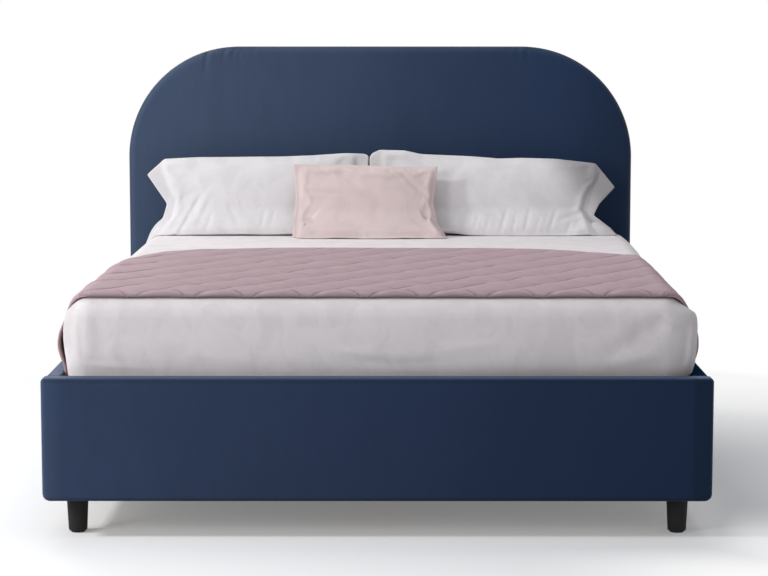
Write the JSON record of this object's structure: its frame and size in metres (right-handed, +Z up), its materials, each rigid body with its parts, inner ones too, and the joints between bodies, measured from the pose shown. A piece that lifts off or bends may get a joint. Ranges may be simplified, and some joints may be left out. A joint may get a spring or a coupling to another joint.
{
  "type": "storage bed",
  "caption": "Upholstered double storage bed with an arched headboard; the sprung slat platform with mattress and bedding lifts from the foot end on arms with gas springs over a storage floor.",
  "frame": {"origin": "on the floor plane, below the middle of the bed's outline", "axes": "+Z up, +Y from the foot end towards the headboard, +X to the right of someone who stands at the foot end and looks at the headboard"},
  "size_m": [1.71, 2.067, 1.236],
  "materials": {
    "blue_velvet": "matte",
    "black_cloth": "matte",
    "board": "matte",
    "white_board": "satin",
    "birch": "satin",
    "black_plastic": "matte",
    "black_rubber": "matte",
    "black_steel": "satin",
    "zinc_steel": "satin",
    "white_cotton": "matte",
    "mauve_quilt": "matte",
    "pink_cushion": "matte",
    "ticking": "matte"
  },
  "bodies": {
    "base": {"headboard_board": "board", "headboard_battens": "board", "headboard_padding": "blue_velvet", "headboard_back_cloth": "black_cloth", "foot_rail_board": "board", "foot_rail_cover": "blue_velvet", "left_rail_board": "board", "left_rail_cover": "blue_velvet", "right_rail_board": "board", "right_rail_cover": "blue_velvet", "bracket_foot_left": "zinc_steel", "bracket_foot_right": "zinc_steel", "bracket_head_left": "zinc_steel", "bracket_head_right": "zinc_steel", "frame_bolts": "zinc_steel", "foot_front_left": "black_plastic", "foot_front_right": "black_plastic", "foot_rear_left": "black_plastic", "foot_rear_right": "black_plastic", "foot_centre": "black_plastic", "foot_glides": "black_rubber", "corner_blocks": "board", "centre_bearer": "board", "floor_ledges": "board", "floor_panel_left": "white_board", "floor_panel_right": "white_board", "floor_joint_strip": "black_plastic", "lift_plate_left": "black_steel", "lift_plate_right": "black_steel", "rest_batten": "board", "rest_pads": "black_rubber", "fixed_pivot_pins": "zinc_steel"},
    "rear_arms": {"rear_arm_left": "black_steel", "rear_arm_right": "black_steel"},
    "front_arms": {"front_arm_left": "black_steel", "front_arm_right": "black_steel", "spring_studs": "zinc_steel"},
    "gas_cylinders": {"gas_cylinder_left": "black_steel", "gas_cylinder_right": "black_steel"},
    "gas_rods": {"gas_rod_left": "zinc_steel", "gas_rod_right": "zinc_steel"},
    "platform": {"lift_bracket_left": "black_steel", "lift_bracket_right": "black_steel", "lift_pivot_studs": "zinc_steel", "side_tube_left": "black_steel", "side_tube_right": "black_steel", "head_tube": "black_steel", "foot_tube": "black_steel", "centre_tube": "black_steel", "slats_left": "birch", "slats_right": "birch", "slat_holders": "black_plastic", "pull_strap": "black_cloth", "mattress": "ticking", "sheet": "white_cotton", "quilt": "mauve_quilt", "pillow_left": "white_cotton", "pillow_right": "white_cotton", "cushion": "pink_cushion"}
  },
  "joints": [
    {"name": "rear_arm_swing", "type": "hinge", "parent": "base", "child": "rear_arms", "pos_m": [0, 0.31081, 0.26095], "axis": [1, 0, 0], "range_deg": [0, 57]},
    {"name": "platform_tilt", "type": "hinge", "parent": "rear_arms", "child": "platform", "pos_m": [0, 0.5695, 0.345], "axis": [1, 0, 0], "range_deg": [-87, 0]},
    {"name": "front_arm_swing", "type": "hinge", "parent": "base", "child": "front_arms", "pos_m": [0, 0.1546, 0.17], "axis": [1, 0, 0], "range_deg": [0, 46.92]},
    {"name": "gas_spring_swing", "type": "hinge", "parent": "base", "child": "gas_cylinders", "pos_m": [0, 0.405, 0.1557], "axis": [1, 0, 0], "range_deg": [0, 12.6]},
    {"name": "gas_rod_slide", "type": "slide", "parent": "gas_cylinders", "child": "gas_rods", "axis": [0, -0.7431, 0.6691], "range_m": [0, 0.1107]}
  ],
  "couplings": [
    {"joint": "platform_tilt", "follows": "rear_arm_swing", "ratio": -1.5263},
    {"joint": "front_arm_swing", "follows": "rear_arm_swing", "ratio": 0.82316},
    {"joint": "gas_spring_swing", "follows": "rear_arm_swing", "ratio": 0.22105},
    {"joint": "gas_rod_slide", "follows": "rear_arm_swing", "m_per_rad": 0.11127}
  ]
}
